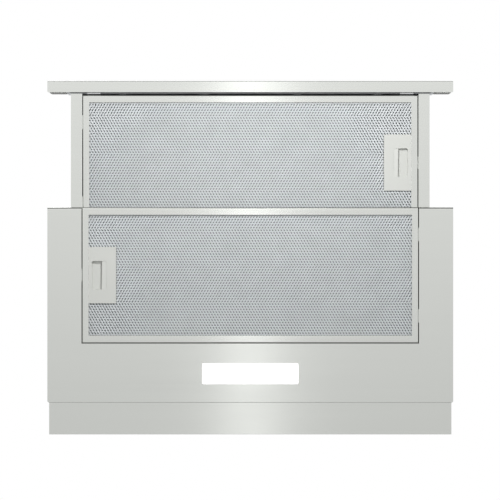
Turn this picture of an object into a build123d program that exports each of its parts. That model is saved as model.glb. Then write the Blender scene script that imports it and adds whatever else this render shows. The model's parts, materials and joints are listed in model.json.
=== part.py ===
from build123d import *
import math
import os

# Telescopic range hood with its drawer pulled out.
# Millimetres, +Z up, front towards -Y, underside at zero, centred on its open outline.

# Whole hood
hood_width = 598.0
plate_depth = 288.0
casing_height = 176.0
casing_front_setback = 1.0
casing_rear_setback = 7.6
drawer_travel = 168.0
shut_gap = 1.6
sheet = 1.0
heavy_sheet = 1.2
fixing_gap = 0.1

# Base plate
seat_height = 8.0
seat_width = 9.0
inner_rim_height = 10.0
plate_corner_cut = 2.0
foot_width = 13.0

# Front trim
trim_depth = 16.4
trim_height = 40.0
trim_lip = 6.0
trim_corner_radius = 1.2
clip_width = 20.6
clip_inset = 6.0
clip_foot = 3.6
clip_height = 18.0
clip_rise = 1.2
clip_sheet = 0.8

# Filters, both alike
filter_side_margin = 51.0
filter_depth = 200.2
filter_height = 9.0
filter_skin = 0.8
filter_side_strip = 9.8
filter_long_strip = 11.2
filter_gap = 0.6
mesh_sheet = 1.0
filter_rise = 4.0
filter_setback = 3.2
hinge_tab_width = 20.0
hinge_tab_spacing = 120.0
hinge_tab_reach = 5.0
hinge_tab_low = 1.6
hinge_slot_rise = 3.2

# Filter handle and its latch
handle_length = 40.4
handle_width = 83.0
handle_sheet = 1.0
handle_depth = 7.8
finger_slot_inset = 5.0
finger_slot_length = 14.2
finger_slot_width = 42.0
latch_travel = 6.0
latch_tab_margin = 1.0
latch_sheet = 1.2
latch_gap = 0.3
latch_height = 5.1
latch_rail_width = 2.0
latch_rail_gap = 0.7
latch_bar_inset = 3.0
nose_width = 18.0
nose_reach = 2.6
nose_low = 2.6
nose_height = 3.4
nose_gap = 0.6
spring_radius = 1.5
spring_wire = 0.25
spring_turns = 7

# Drawer and its slides
drawer_back_gap = 10.2
drawer_web_height = 37.0
drawer_side_gap = 0.7
drawer_cover_rise = 24.0
drawer_cover_flange = 10.0
drawer_bar_lap = 4.0
slide_low = 4.0
slide_height = 35.0
slide_lip = 10.0
slide_width = 16.2
slide_end_gap = 2.0
slide_rear_gap = 7.4
ball_track = 4.8
ball_radius = 2.1
ball_inset = 7.5
ball_count = 8
ball_end_margin = 6.0
cage_end_gap = 1.6
cage_sheet = 0.8
cage_back_gap = 1.0
cage_leg = 7.5
inner_slide_width = 11.7

# Push buttons in the trim
button_count = 4
button_width = 14.0
button_height = 8.0
button_pitch = 18.0
button_depth = 5.0
button_stem = 2.0
button_travel = 2.0
button_gap = 0.4
button_flange = 1.0
panel_inset = 54.0
panel_z = 20.0
panel_margin = 2.0
panel_height = 16.0
panel_lap = 3.0
panel_lap_depth = 1.5
panel_post_radius = 2.0
switch_size = 6.0
switch_depth = 2.6
board_sheet = 1.6

# Lamp
lamp_width = 142.0
lamp_depth = 31.0
lamp_corner_radius = 2.2
lamp_gap = 0.2
lamp_shift = 1.1
lamp_flange = 3.0
lens_sheet = 1.4
lamp_housing_height = 15.6
lamp_housing_wall = 1.5
lamp_board_rise = 8.0
lamp_chip_count = 10
lamp_chip_length = 5.0
lamp_chip_width = 3.0
lamp_chip_height = 0.8

# Rear filler strip
filler_reach = 46.8
filler_side_gap = 2.5
filler_height = 15.8
filler_gap = 0.2
filler_lap = 36.0
filler_lamp_lap = 2.0
filler_lamp_gap = 19.0
filler_travel = 20.0
filler_stud_margin = 48.0
filler_stud_radius = 2.0
filler_stud_height = 7.0
filler_stud_inset = 8.4
filler_slot_gap = 0.3
nut_width = 7.0
nut_height = 3.2

# Blower
blower_setback = 135.4
blower_gap = 3.2
impeller_radius = 46.0
impeller_bore_radius = 37.0
impeller_length = 104.0
impeller_ring = 2.0
impeller_ring_width = 3.0
impeller_disc = 2.0
blade_count = 32
blade_sheet = 0.8
blade_lean = 14.0
hub_radius = 10.0
hub_length = 25.0
hub_start = -7.0
shaft_radius = 4.0
shaft_gap = 0.05
shaft_start = -84.0
scroll_start_radius = 50.0
scroll_growth = 14.0
scroll_tongue_angle = 65.0
scroll_wall = 1.5
scroll_side_gap = 3.5
inlet_radius = 39.5
inlet_lip = 2.0
inlet_lip_height = 2.5
outlet_rise = 2.0
motor_radius = 33.0
motor_length = 50.0
motor_end_radius = 24.0
motor_end_length = 8.0
motor_boss_radius = 9.0
motor_boss_length = 3.0
motor_front_x = -12.0
mount_ring = 4.0
mount_sheet = 2.0
mount_arm_width = 10.0
mount_foot_start = 43.0
mount_foot_end = 49.5
mount_arm_count = 3

# Duct collar and its flaps
duct_radius = 59.5
duct_wall = 1.2
duct_height = 27.0
duct_flange_radius = 70.0
duct_flange = 1.5
duct_screw_radius = 65.0
duct_screw_count = 4
flap_rise = 12.0
flap_sheet = 1.0
flap_edge_gap = 1.3
flap_root = 3.3
flap_stop_width = 3.3
flap_stop_gap = 0.3
flap_stop_height = 1.5
knuckle_radius = 2.8
knuckle_count = 4
knuckle_length = 24.0
knuckle_gap = 1.5
flap_pin_radius = 1.5
flap_pin_gap = 0.06

# Wiring pieces
terminal_inset = 112.0
terminal_setback = 51.0
terminal_length = 90.0
terminal_width = 70.0
terminal_height = 35.0
terminal_wall = 2.0
terminal_rim = 4.0
gland_bore_radius = 3.6
gland_shank_radius = 7.9
gland_shank_gap = 0.2
gland_flange_radius = 11.0
gland_flange = 2.0
gland_cap_width = 18.0
gland_cap_height = 12.0
capacitor_inset = 67.0
capacitor_setback = 41.0
capacitor_radius = 14.0
capacitor_length = 55.0
capacitor_stud_radius = 3.9
capacitor_stud_length = 7.0
capacitor_nut_width = 13.0
capacitor_nut_height = 4.0

# Drawer microswitch
microswitch_inset = 67.0
microswitch_width = 6.5
microswitch_height = 20.0
microswitch_drop = 13.0
lever_width = 4.0
lever_sheet = 0.5
lever_gap = 0.5
lever_length = 18.0
lever_pin_radius = 0.8
lever_body_gap = 3.0

# Side brackets and screws
bracket_length = 120.0
bracket_height = 30.0
bracket_low = 100.0
bracket_setback = 83.4
bracket_sheet = 1.5
cabinet_panel = 17.0
bracket_hole_spacing = 96.0
bracket_hole_radius = 2.75
bracket_hole_rise = 18.0
bracket_screw_spacing = 60.0
bracket_screw_rise = 15.0
screw_radius = 1.9
screw_length = 6.0
screw_head_radius = 3.5
screw_head_height = 2.2
trim_screw_inset = 109.0
trim_screw_pitch = 120.0

# Places that follow from the sizes above
open_depth = trim_depth + shut_gap + drawer_travel + plate_depth + filler_reach
front_y = -open_depth / 2
trim_rear_y = front_y + trim_depth
plate_front_y = trim_rear_y + shut_gap + drawer_travel
plate_rear_y = plate_front_y + plate_depth
half_hood = hood_width / 2
half_filter = half_hood - filter_side_margin
half_opening = half_filter + filter_gap
web_outer_x = half_opening + heavy_sheet
half_inside = web_outer_x + slide_width
half_casing = half_inside + sheet
casing_front_y = plate_front_y + casing_front_setback
casing_rear_y = plate_rear_y - casing_rear_setback
casing_roof_z = casing_height - sheet
cabinet_x = half_hood - cabinet_panel
bracket_y = casing_front_y + bracket_setback + bracket_length / 2
rear_filter_y = plate_front_y + filter_depth / 2
front_filter_y = trim_rear_y + filter_setback + filter_depth / 2
rail_z = filter_height + filter_rise
drawer_front_y = trim_rear_y + heavy_sheet
drawer_shut_rear_y = casing_rear_y - sheet - drawer_back_gap
drawer_rear_y = drawer_shut_rear_y - drawer_travel
drawer_web_top = rail_z + drawer_web_height
rail_edge_x = half_inside - drawer_side_gap
cover_z = rail_z + drawer_cover_rise
mouth_top_z = drawer_web_top + drawer_side_gap + slide_low
slide_z = rail_z + slide_low
slide_top = slide_z + slide_height
slide_front_y = plate_front_y + slide_end_gap
slide_rear_y = casing_rear_y - sheet - slide_rear_gap
inner_slide_z = slide_z + heavy_sheet + ball_track
inner_slide_top = slide_top - heavy_sheet - ball_track
ball_x = half_inside - ball_inset
filler_z = sheet + filler_gap
filler_top = filler_z + sheet
filler_stud_x = half_filter - filler_stud_margin
lamp_y = (plate_front_y + filter_depth + plate_rear_y) / 2 + lamp_shift
panel_x = half_hood - panel_inset
blower_y = casing_front_y + blower_setback
scroll_depth = scroll_start_radius + scroll_growth * 2 / 3 + scroll_wall
blower_z = cover_z + sheet + blower_gap + scroll_depth
outlet_plane_z = blower_z + scroll_start_radius + outlet_rise
outlet_front_y = blower_y + scroll_start_radius * math.cos(math.radians(scroll_tongue_angle))
outlet_rear_y = blower_y + scroll_start_radius + scroll_growth
duct_y = (outlet_front_y + outlet_rear_y) / 2
scroll_half_width = impeller_length / 2 + scroll_side_gap + scroll_wall
duct_bore_radius = duct_radius - duct_wall
flap_z = casing_height + flap_rise
terminal_x = terminal_inset - half_casing
terminal_y = casing_rear_y - terminal_setback
capacitor_x = half_casing - capacitor_inset
capacitor_y = casing_rear_y - capacitor_setback
microswitch_x = half_casing - microswitch_inset
microswitch_low = cover_z - microswitch_drop
low_corner = (Align.MIN, Align.MIN, Align.MIN)
standing = (Align.CENTER, Align.CENTER, Align.MIN)


# Shared shapes

def block(x_low, x_high, y_low, y_high, z_low, z_high):
    """Box between two corners."""
    size = (x_high - x_low, y_high - y_low, z_high - z_low)
    return Pos(x_low, y_low, z_low) * Box(*size, align=low_corner)


def wide_block(half_width, y_low, y_high, z_low, z_high):
    """Box centred on the hood's middle plane."""
    return block(-half_width, half_width, y_low, y_high, z_low, z_high)


def rod(radius, start, end):
    """Round bar from one point to another."""
    first = Vector(*start)
    run = Vector(*end) - first
    return Plane(origin=first, z_dir=run) * Cylinder(radius, run.length, align=standing)


def ring(outer_radius, inner_radius, start, end):
    """Round tube from one point to another."""
    return rod(outer_radius, start, end) - rod(inner_radius, start, end)


def hexagon(width, start_z, end_z, x, y):
    """Upright hexagonal prism, measured across its flats."""
    face = RegularPolygon(width / 2, 6, major_radius=False)
    return Pos(x, y, start_z) * extrude(face, end_z - start_z)


def mirrored(shape, side):
    """The shape as drawn for the right side, or its mirror image for the left."""
    return shape if side > 0 else mirror(shape, Plane.YZ)


def screw(seat, direction):
    """Pan-head screw whose head seats at a point and whose shank runs along a direction."""
    way = Vector(*direction)
    under_head = Vector(*seat)
    head = rod(screw_head_radius, under_head - way * screw_head_height, under_head)
    head = chamfer(head.edges().group_by(Axis(under_head, way))[0], screw_head_height / 4)
    return head + rod(screw_radius, under_head, under_head + way * screw_length)


def screw_hole(seat, direction, depth):
    """Clearance hole for a screw, to be cut from what the shank passes through."""
    way = Vector(*direction)
    under_head = Vector(*seat)
    return rod(screw_radius + fixing_gap, under_head - way, under_head + way * depth)


# Base plate

def tab_slots(x_low, x_high, centre_y, base_z):
    """Slots in a wall for the two hinge tabs of a filter."""
    slots = []
    half_slot = hinge_tab_width / 2 + filter_gap
    low = base_z + hinge_tab_low - filter_gap
    high = base_z + hinge_tab_low + latch_sheet + hinge_slot_rise + filter_gap
    for side in (-1, 1):
        middle = centre_y + side * hinge_tab_spacing / 2
        slots.append(block(x_low, x_high, middle - half_slot, middle + half_slot, low, high))
    return slots


def nose_hole(x_low, x_high, centre_y, base_z):
    """Keeper hole in a wall for the nose of a filter latch."""
    half_hole = nose_width / 2 + nose_gap
    low = base_z + nose_low - nose_gap
    high = base_z + nose_low + nose_height + nose_gap
    return block(x_low, x_high, centre_y - half_hole, centre_y + half_hole, low, high)


def make_base_plate():
    """Folded pan with the rear filter's cut-out, the lamp window and the cabinet seats."""
    opening_rear_y = plate_front_y + filter_depth + filter_gap
    plate = wide_block(half_hood, plate_front_y, plate_rear_y, 0, sheet)
    corners = plate.edges().filter_by(Axis.Z).group_by(Axis.Y)[-1]
    plate = chamfer(corners, plate_corner_cut)
    rims = []
    rim_end_y = plate_rear_y - plate_corner_cut
    for side in (-1, 1):
        outer = block(half_hood - sheet, half_hood, plate_front_y, rim_end_y, 0, seat_height)
        seat = block(half_hood - seat_width, half_hood, plate_front_y, rim_end_y,
                     seat_height - sheet, seat_height)
        front = block(half_opening, half_hood, plate_front_y, plate_front_y + sheet, 0, seat_height)
        inner = block(half_opening, half_opening + sheet, plate_front_y, opening_rear_y + sheet,
                      0, inner_rim_height)
        rims.append(mirrored(outer + seat + front + inner, side))
    rear_rim = wide_block(half_opening + sheet, opening_rear_y, opening_rear_y + sheet, 0, inner_rim_height)
    opening = wide_block(half_opening, plate_front_y - sheet, opening_rear_y,
                         -sheet, inner_rim_height + sheet)
    window = Pos(0, lamp_y, -sheet) * extrude(
        RectangleRounded(lamp_width, lamp_depth, lamp_corner_radius), 3 * sheet)
    pan = plate + rims + rear_rim - opening - window
    pan -= tab_slots(half_opening - sheet, half_opening + 2 * sheet, rear_filter_y, 0)
    pan -= nose_hole(-half_opening - 2 * sheet, -half_opening + sheet, rear_filter_y, 0)
    stud_y = filler_stud_y()
    for side in (-1, 1):
        stud = Pos(side * filler_stud_x, stud_y, 0) * Cylinder(
            filler_stud_radius, sheet + filler_stud_height, align=standing)
        pan += stud
    return pan


# Casing above the plate

def bracket_screw_seats(side):
    """Head seats of the two screws that hold a side bracket."""
    x = side * (half_casing + bracket_sheet)
    z = bracket_low + bracket_screw_rise
    half_spacing = bracket_screw_spacing / 2
    return [(x, bracket_y - half_spacing, z), (x, bracket_y + half_spacing, z)]


def make_casing_side(side):
    """Upright side wall with a foot that turns outwards on the plate."""
    wall = block(half_inside, half_casing, casing_front_y, casing_rear_y, sheet, casing_roof_z)
    foot = block(half_inside, half_casing + foot_width, casing_front_y + sheet, casing_rear_y,
                 sheet, 2 * sheet)
    filler_way = block(half_inside - sheet, half_hood, plate_rear_y - filler_lap - filler_travel - sheet,
                       plate_rear_y, 0, filler_top + sheet)
    panel = mirrored(wall + foot - filler_way, side)
    for seat in bracket_screw_seats(side):
        panel -= screw_hole(seat, (-side, 0, 0), 2 * screw_length)
    return panel


def make_casing_back():
    """Back panel, raised so that the filler strip slides under it."""
    panel = wide_block(half_inside, casing_rear_y - sheet, casing_rear_y, filler_top + sheet, casing_roof_z)
    for side in (-1, 1):
        flange = block(half_inside - sheet, half_inside, casing_rear_y - foot_width, casing_rear_y,
                       mouth_top_z, casing_roof_z)
        panel += mirrored(flange, side)
    return panel


def make_casing_front():
    """Upper front panel above the drawer's mouth, with a stiffening fold along its edge."""
    panel = wide_block(half_inside, casing_front_y, casing_front_y + sheet, mouth_top_z, casing_roof_z)
    fold = wide_block(half_inside, casing_front_y, casing_front_y + foot_width,
                      mouth_top_z, mouth_top_z + sheet)
    return panel + fold


def duct_screw_seats():
    """Head seats of the screws that hold the duct collar."""
    seats = []
    for number in range(duct_screw_count):
        angle = math.radians(360 / duct_screw_count * (number + 0.5))
        x = duct_screw_radius * math.cos(angle)
        y = duct_y + duct_screw_radius * math.sin(angle)
        seats.append((x, y, casing_height + duct_flange))
    return seats


def make_casing_top():
    """Roof with the duct opening and the holes for gland and capacitor."""
    roof = wide_block(half_casing, casing_front_y, casing_rear_y, casing_roof_z, casing_height)
    low = casing_roof_z - sheet
    high = casing_height + sheet
    roof -= rod(duct_bore_radius, (0, duct_y, low), (0, duct_y, high))
    roof -= rod(gland_shank_radius + gland_shank_gap,
                (terminal_x, terminal_y, low), (terminal_x, terminal_y, high))
    roof -= rod(capacitor_stud_radius + fixing_gap,
                (capacitor_x, capacitor_y, low), (capacitor_x, capacitor_y, high))
    for seat in duct_screw_seats():
        roof -= screw_hole(seat, (0, 0, -1), screw_length)
    return roof


def make_bracket(side):
    """Channel bracket between the casing wall and the cabinet's side."""
    rear = bracket_y + bracket_length / 2
    front = bracket_y - bracket_length / 2
    high = bracket_low + bracket_height
    inner = block(half_casing, half_casing + bracket_sheet, front, rear, bracket_low, high)
    web = block(half_casing, cabinet_x, front, rear, bracket_low, bracket_low + bracket_sheet)
    outer = block(cabinet_x - bracket_sheet, cabinet_x, front, rear, bracket_low, high)
    bracket = mirrored(inner + web + outer, side)
    for seat in bracket_screw_seats(side):
        bracket -= screw_hole(seat, (-side, 0, 0), screw_length)
    for end in (-1, 1):
        y = bracket_y + end * bracket_hole_spacing / 2
        z = bracket_low + bracket_hole_rise
        inside = (side * (cabinet_x - 2 * bracket_sheet), y, z)
        outside = (side * (cabinet_x + bracket_sheet), y, z)
        bracket -= rod(bracket_hole_radius, inside, outside)
    return bracket


def make_casing_screws():
    """The like screws of the brackets and of the duct collar."""
    screws = []
    for side in (-1, 1):
        for seat in bracket_screw_seats(side):
            screws.append(screw(seat, (-side, 0, 0)))
    for seat in duct_screw_seats():
        screws.append(screw(seat, (0, 0, -1)))
    return screws


# Drawer slides

def make_slide_outer(side):
    """Outer slide member on the casing wall, a channel that opens inwards."""
    shape = block(half_inside - slide_lip, half_inside, slide_front_y, slide_rear_y, slide_z, slide_top)
    hollow = block(half_inside - 2 * slide_lip, half_inside - heavy_sheet, slide_front_y - sheet,
                   slide_rear_y + sheet, slide_z + heavy_sheet, slide_top - heavy_sheet)
    return mirrored(shape - hollow, side)


def make_slide_inner(side):
    """Inner slide member on the drawer's web, a channel that opens outwards."""
    member_front_y = drawer_front_y + slide_end_gap
    shape = block(web_outer_x, web_outer_x + inner_slide_width, member_front_y, drawer_rear_y,
                  inner_slide_z, inner_slide_top)
    hollow = block(web_outer_x + heavy_sheet, web_outer_x + 2 * inner_slide_width, member_front_y - sheet,
                   drawer_rear_y + sheet, inner_slide_z + heavy_sheet, inner_slide_top - heavy_sheet)
    return mirrored(shape - hollow, side)


def make_slide_cage(side):
    """Ball cage that runs between the members, with its two rows of balls."""
    cage_front_y = slide_front_y + cage_end_gap
    cage_rear_y = drawer_rear_y - cage_end_gap
    web_x = half_inside - heavy_sheet - cage_back_gap
    rows = [(slide_z + heavy_sheet + inner_slide_z) / 2, (slide_top - heavy_sheet + inner_slide_top) / 2]
    cage = block(web_x - cage_sheet, web_x, cage_front_y, cage_rear_y,
                 rows[0] - cage_sheet / 2, rows[1] + cage_sheet / 2)
    step = (cage_rear_y - cage_front_y - 2 * ball_end_margin) / (ball_count - 1)
    for row_z in rows:
        cage += block(web_x - cage_leg, web_x, cage_front_y, cage_rear_y,
                      row_z - cage_sheet / 2, row_z + cage_sheet / 2)
        for number in range(ball_count):
            ball_y = cage_front_y + ball_end_margin + number * step
            cage += Pos(ball_x, ball_y, row_z) * Sphere(ball_radius)
    return mirrored(cage, side)


# Drawer

def make_drawer_side(side):
    """Side rail: an upright web and the flange that shows from below."""
    web = block(half_opening, web_outer_x, drawer_front_y, drawer_rear_y, rail_z, drawer_web_top)
    flange = block(half_opening, rail_edge_x, drawer_front_y, drawer_rear_y, rail_z, rail_z + heavy_sheet)
    rail = mirrored(web + flange, side)
    if side > 0:
        return rail - nose_hole(half_opening - sheet, web_outer_x + sheet, front_filter_y, rail_z)
    return rail - tab_slots(-web_outer_x - sheet, -half_opening + sheet, front_filter_y, rail_z)


def trim_screw_seats():
    """Head seats of the screws that hold the trim to the drawer."""
    outer_x = half_hood - trim_screw_inset
    z = trim_height - trim_lip / 2
    return [(side * x, drawer_front_y, z) for x in (outer_x - trim_screw_pitch, outer_x) for side in (-1, 1)]


def make_drawer_front_bar():
    """Cross bar that ties the rails together behind the trim."""
    bar = wide_block(half_casing + drawer_bar_lap, trim_rear_y, drawer_front_y, rail_z, drawer_web_top)
    for seat in trim_screw_seats():
        bar -= screw_hole(seat, (0, -1, 0), screw_length)
    return bar


def make_drawer_cover():
    """Sheet over the front filter that leads the air back into the casing."""
    cover = wide_block(half_opening, drawer_front_y, drawer_rear_y, cover_z, cover_z + sheet)
    for side in (-1, 1):
        flange = block(half_opening - sheet, half_opening, drawer_front_y, drawer_rear_y,
                       cover_z, cover_z + drawer_cover_flange)
        cover += mirrored(flange, side)
    for seat in trim_screw_seats():
        clearance = screw_head_radius + filter_gap
        head_end = drawer_front_y + screw_head_height + filter_gap
        x, y, z = seat
        cover -= block(x - clearance, x + clearance, y, head_end, z - clearance, z + clearance)
    return cover


def panel_half_width():
    """Half the width of the button panel that shows in the trim."""
    return (button_count * button_pitch) / 2 + panel_margin


def make_front_trim():
    """Hollow front bar, open at its rear behind the drawer, with lips there and a window for the buttons."""
    shell = wide_block(half_hood, front_y, trim_rear_y, 0, trim_height)
    rear_corners = shell.edges().filter_by(Axis.Z).group_by(Axis.Y)[-1]
    shell = fillet(rear_corners, trim_corner_radius)
    shell -= wide_block(half_hood - sheet, front_y + sheet, trim_rear_y - sheet, sheet, trim_height - sheet)
    shell -= wide_block(half_casing, trim_rear_y - 2 * sheet, trim_rear_y + sheet,
                        trim_lip, trim_height - trim_lip)
    half_window = panel_half_width() + lamp_gap
    window_low = panel_z - panel_height / 2 - lamp_gap
    window_high = panel_z + panel_height / 2 + lamp_gap
    shell -= block(panel_x - half_window, panel_x + half_window, front_y - sheet, front_y + 2 * sheet,
                   window_low, window_high)
    for seat in trim_screw_seats():
        shell -= screw_hole(seat, (0, -1, 0), screw_length)
    return shell


def make_trim_clips():
    """Two sprung clips between the trim's rear lip and the cross bar."""
    clips = []
    outer_x = half_filter - clip_inset
    foot_z = filter_height + clip_rise
    for side in (-1, 1):
        foot = block(outer_x - clip_width, outer_x, trim_rear_y, trim_rear_y + clip_foot,
                     foot_z, foot_z + clip_sheet)
        leg = block(outer_x - clip_width, outer_x, drawer_front_y, drawer_front_y + clip_sheet,
                    foot_z, foot_z + clip_height)
        clips.append(mirrored(foot + leg, side))
    return clips


def make_trim_screws():
    """The like screws between cross bar and trim."""
    return [screw(seat, (0, -1, 0)) for seat in trim_screw_seats()]


# Push buttons

def button_centre(number):
    """Middle of a button, counted from the left."""
    return panel_x + (number - (button_count - 1) / 2) * button_pitch


def make_button(number):
    """Button cap with a retaining flange and a stem."""
    x = button_centre(number)
    lap_end = front_y + sheet + panel_lap_depth
    cap = block(x - button_width / 2, x + button_width / 2, front_y, front_y + button_depth,
                panel_z - button_height / 2, panel_z + button_height / 2)
    cap = fillet(cap.edges().filter_by(Axis.Y), button_flange)
    half_flange = button_width / 2 + button_flange
    flange = block(x - half_flange, x + half_flange, lap_end + lamp_gap, front_y + button_depth,
                   panel_z - button_height / 2 - button_flange, panel_z + button_height / 2 + button_flange)
    stem_end = front_y + button_depth + button_stem
    stem = rod(panel_post_radius, (x, front_y + button_depth, panel_z), (x, stem_end, panel_z))
    return cap + flange + stem


def make_switch_bezel():
    """Panel that fills the trim's window and guides the buttons."""
    half_width = panel_half_width()
    low = panel_z - panel_height / 2
    high = panel_z + panel_height / 2
    lap_end = front_y + sheet + panel_lap_depth
    bezel = block(panel_x - half_width, panel_x + half_width, front_y, front_y + sheet, low, high)
    bezel += block(panel_x - half_width - panel_lap, panel_x + half_width + panel_lap,
                   front_y + sheet, lap_end, low - panel_lap, high + panel_lap)
    for side in (-1, 1):
        x = panel_x + side * half_width
        bezel += rod(panel_post_radius, (x, lap_end, panel_z), (x, switch_board_y(), panel_z))
    for number in range(button_count):
        x = button_centre(number)
        half_hole = button_width / 2 + button_gap
        half_tall = button_height / 2 + button_gap
        bezel -= block(x - half_hole, x + half_hole, front_y - sheet, lap_end + sheet,
                       panel_z - half_tall, panel_z + half_tall)
    return bezel


def switch_board_y():
    """Front face of the switch board, behind the pressed stems."""
    return front_y + button_depth + button_stem + button_travel + latch_gap + switch_depth


def make_switch_board():
    """Circuit board with one key switch behind each button."""
    face_y = switch_board_y()
    half_width = panel_half_width() + panel_post_radius
    board = block(panel_x - half_width, panel_x + half_width, face_y, face_y + board_sheet,
                  panel_z - panel_height / 2, panel_z + panel_height / 2)
    for number in range(button_count):
        x = button_centre(number)
        board += block(x - switch_size / 2, x + switch_size / 2, face_y - switch_depth, face_y,
                       panel_z - switch_size / 2, panel_z + switch_size / 2)
    return board


# Filters, drawn about their own centre with the handle towards -X

handle_x = -half_filter + filter_side_strip
handle_end_x = handle_x + handle_length
slot_x = handle_x + finger_slot_inset
slot_end_x = slot_x + finger_slot_length
window_end_x = slot_end_x + latch_travel + latch_tab_margin
latch_z = handle_sheet + latch_gap
latch_top = latch_z + latch_height
half_slot = finger_slot_width / 2
rail_inner_y = half_slot + handle_sheet + latch_rail_gap
rail_outer_y = rail_inner_y + latch_rail_width


def make_filter_frame():
    """Channel frame with two hinge tabs at the end away from the handle."""
    half_depth = filter_depth / 2
    frame = block(-half_filter, half_filter, -half_depth, half_depth, 0, filter_height)
    frame -= block(-half_filter + filter_skin, half_filter - filter_skin, -half_depth + filter_skin,
                   half_depth - filter_skin, filter_skin, filter_height - filter_skin)
    frame -= block(-half_filter + filter_side_strip, half_filter - filter_side_strip,
                   -half_depth + filter_long_strip, half_depth - filter_long_strip,
                   -sheet, filter_height + sheet)
    frame -= nose_hole(-half_filter - sheet, -half_filter + 2 * filter_skin, 0, 0)
    for side in (-1, 1):
        middle = side * hinge_tab_spacing / 2
        frame += block(half_filter - filter_skin, half_filter + hinge_tab_reach, middle - hinge_tab_width / 2,
                       middle + hinge_tab_width / 2, hinge_tab_low, hinge_tab_low + latch_sheet)
    return frame


def mesh_outline(inset, base_z):
    """Upright solid on the mesh pack's outline, cut out round the handle and drawn in by an inset."""
    half_width = half_filter - filter_skin - inset
    half_depth = filter_depth / 2 - filter_skin - inset
    half_handle = handle_width / 2 + inset
    pack = block(-half_width, half_width, -half_depth, half_depth, base_z, filter_height - filter_skin)
    return pack - block(-half_filter, handle_end_x + inset, -half_handle, half_handle, 0, filter_height)


def make_filter_mesh():
    """Mesh sheet with its edge folded up all round to fill the frame's channel."""
    return mesh_outline(0.0, filter_skin) - mesh_outline(mesh_sheet, filter_skin + mesh_sheet)


def make_filter_handle():
    """Handle plate with its skirt and the finger well."""
    half_width = handle_width / 2
    plate = block(handle_x, handle_end_x, -half_width, half_width, 0, handle_depth)
    plate -= block(handle_x - sheet, handle_end_x - handle_sheet, -half_width + handle_sheet,
                   half_width - handle_sheet, handle_sheet, handle_depth + sheet)
    plate -= block(slot_x, window_end_x, -half_slot, half_slot, -sheet, handle_sheet + sheet)
    well_end = slot_end_x - latch_rail_width
    well = block(slot_x - handle_sheet, well_end, -half_slot - handle_sheet, half_slot + handle_sheet,
                 0, handle_depth)
    well -= block(slot_x, well_end + sheet, -half_slot, half_slot, -sheet, handle_depth - handle_sheet)
    return plate + well


def make_latch_slider():
    """Sliding latch: finger wall and tab, two side rails, a cross bar and the nose."""
    tab_end = window_end_x + latch_bar_inset
    bar_x = -half_filter + latch_bar_inset
    slider = block(slot_end_x, tab_end, -rail_outer_y, rail_outer_y, latch_z, latch_z + latch_sheet)
    slider += block(slot_end_x, slot_end_x + latch_sheet, -rail_outer_y, rail_outer_y, latch_z, latch_top)
    for side in (-1, 1):
        inner = side * rail_inner_y
        outer = side * rail_outer_y
        slider += block(bar_x, tab_end, min(inner, outer), max(inner, outer), latch_z, latch_top)
    slider += block(bar_x, bar_x + latch_rail_width, -rail_outer_y, rail_outer_y, latch_z, latch_top)
    nose = block(-half_filter - nose_reach, bar_x + latch_rail_width, -nose_width / 2, nose_width / 2,
                 nose_low, nose_low + nose_height)
    ramp = nose.edges().filter_by(Axis.Y).group_by(Axis.X)[0].group_by(Axis.Z)[0]
    return slider + chamfer(ramp, nose_height / 2)


def make_latch_spring():
    """Compression spring between the finger wall and the handle's skirt."""
    start_x = slot_end_x + latch_sheet + spring_wire
    length = handle_end_x - handle_sheet - spring_wire - start_x
    middle_z = (latch_z + latch_sheet + handle_depth - handle_sheet) / 2
    centre = (start_x, 0, middle_z)
    path = Helix(length / spring_turns, length, spring_radius, center=centre, direction=(1, 0, 0))
    return sweep(Plane(origin=path @ 0, z_dir=path % 0) * Circle(spring_wire), path, is_frenet=True)


rear_filter_place = Pos(0, rear_filter_y, 0)
front_filter_place = Pos(0, front_filter_y, rail_z) * Rot(0, 0, 180)


# Lamp

def make_lamp_lens():
    """Opal lens in the plate's window, with a flange that rests on the plate."""
    face = RectangleRounded(lamp_width - 2 * lamp_gap, lamp_depth - 2 * lamp_gap,
                            lamp_corner_radius - lamp_gap)
    flange = Rectangle(lamp_width + 2 * lamp_flange, lamp_depth + 2 * lamp_flange)
    lens = extrude(face, sheet + lens_sheet) + Pos(0, 0, sheet) * extrude(flange, lens_sheet)
    return Pos(0, lamp_y, 0) * lens


def make_lamp_housing():
    """Tray that covers the lamp board."""
    base_z = sheet + lens_sheet
    outer = Rectangle(lamp_width + 2 * lamp_flange, lamp_depth + 2 * lamp_flange)
    inner = offset(outer, -lamp_housing_wall, kind=Kind.INTERSECTION)
    tray = extrude(outer, lamp_housing_height) - extrude(inner, lamp_housing_height - lamp_housing_wall)
    return Pos(0, lamp_y, base_z) * tray


def make_lamp_board():
    """Circuit board with one row of light chips facing down."""
    inset = 2 * (lamp_flange - lamp_housing_wall)
    board = extrude(Rectangle(lamp_width + inset, lamp_depth + inset), board_sheet)
    step = lamp_width / lamp_chip_count
    for number in range(lamp_chip_count):
        x = (number - (lamp_chip_count - 1) / 2) * step
        board += Pos(x, 0, -lamp_chip_height / 2) * Box(lamp_chip_length, lamp_chip_width, lamp_chip_height)
    return Pos(0, lamp_y, sheet + lens_sheet + lamp_board_rise) * board


# Rear filler strip

def filler_stud_y():
    """Place of the clamp studs along the hood's depth."""
    return plate_rear_y - filler_lap + filler_stud_inset


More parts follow.
